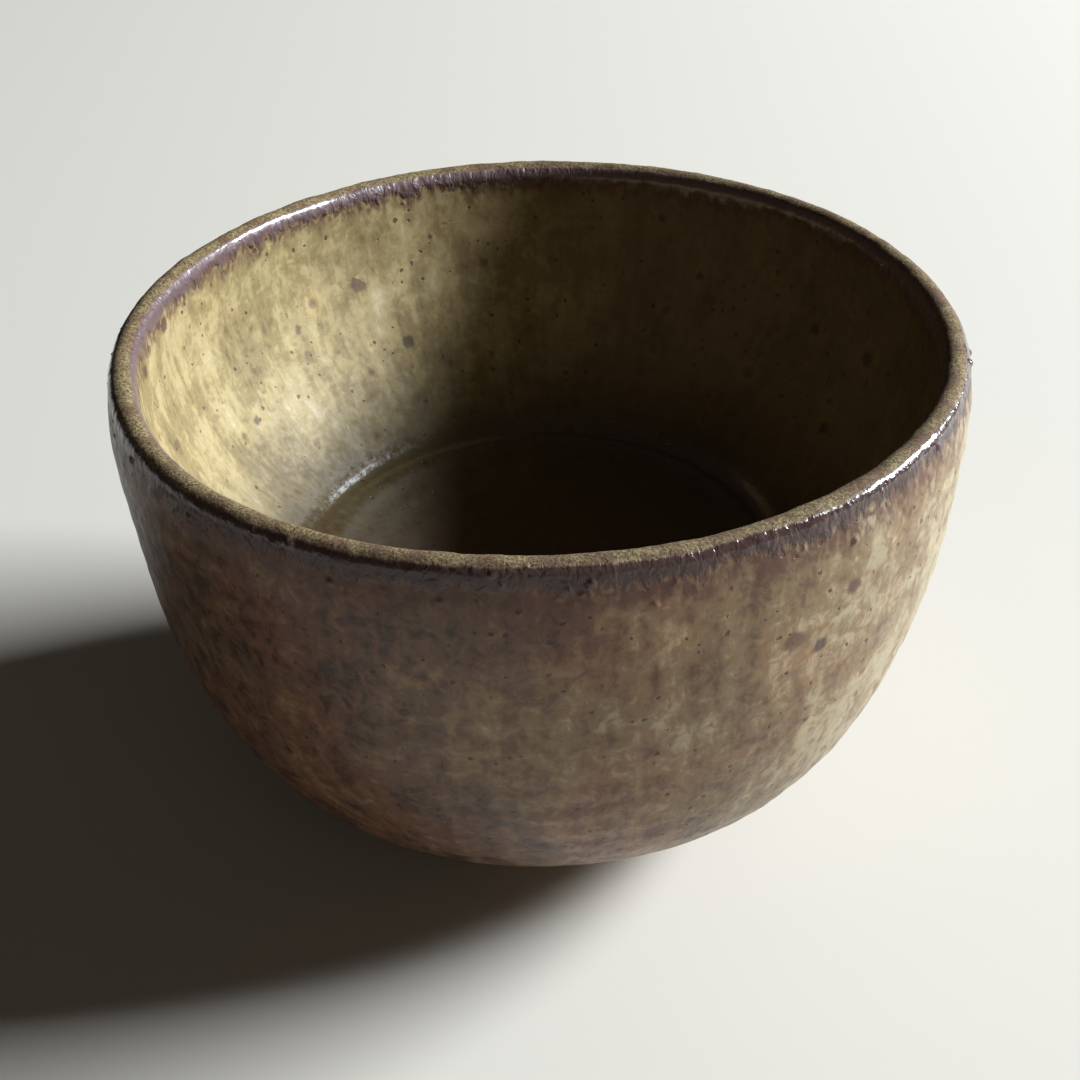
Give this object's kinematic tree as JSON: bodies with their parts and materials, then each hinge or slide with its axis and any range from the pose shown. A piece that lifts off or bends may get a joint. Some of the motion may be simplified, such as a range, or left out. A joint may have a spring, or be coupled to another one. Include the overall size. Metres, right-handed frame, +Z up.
{
  "type": "matcha bowl",
  "caption": "Hand-thrown stoneware matcha bowl with a rolled lip, deep rounded wall, mottled brown and olive glaze and a bare clay foot ring.",
  "frame": {"origin": "centre of the bowl's outline, on the plane that the foot ring stands on", "axes": "+Z up out of the bowl's mouth; +Y away from the side that a guest drinks from; +X to the right"},
  "size_m": [0.1216, 0.1224, 0.079],
  "materials": {
    "clay": "bare fired stoneware, matte and slightly gritty",
    "foot_clay": "bare fired stoneware, trimmed and worn smooth where it stands",
    "rim_glaze": "glossy dark purple-brown with a dry olive-tan line along the top of the lip",
    "inside_glaze": "satin ochre and olive, streaked down the wall and speckled with dark iron spots",
    "outside_glaze": "satin mauve-brown running to olive, streaked down the wall, with pinholes and small craters"
  },
  "bodies": {
    "root": {"clay_body": "clay", "foot_ring": "foot_clay", "rim_glaze": "rim_glaze", "inside_glaze": "inside_glaze", "outside_glaze": "outside_glaze"}
  },
  "joints": []
}
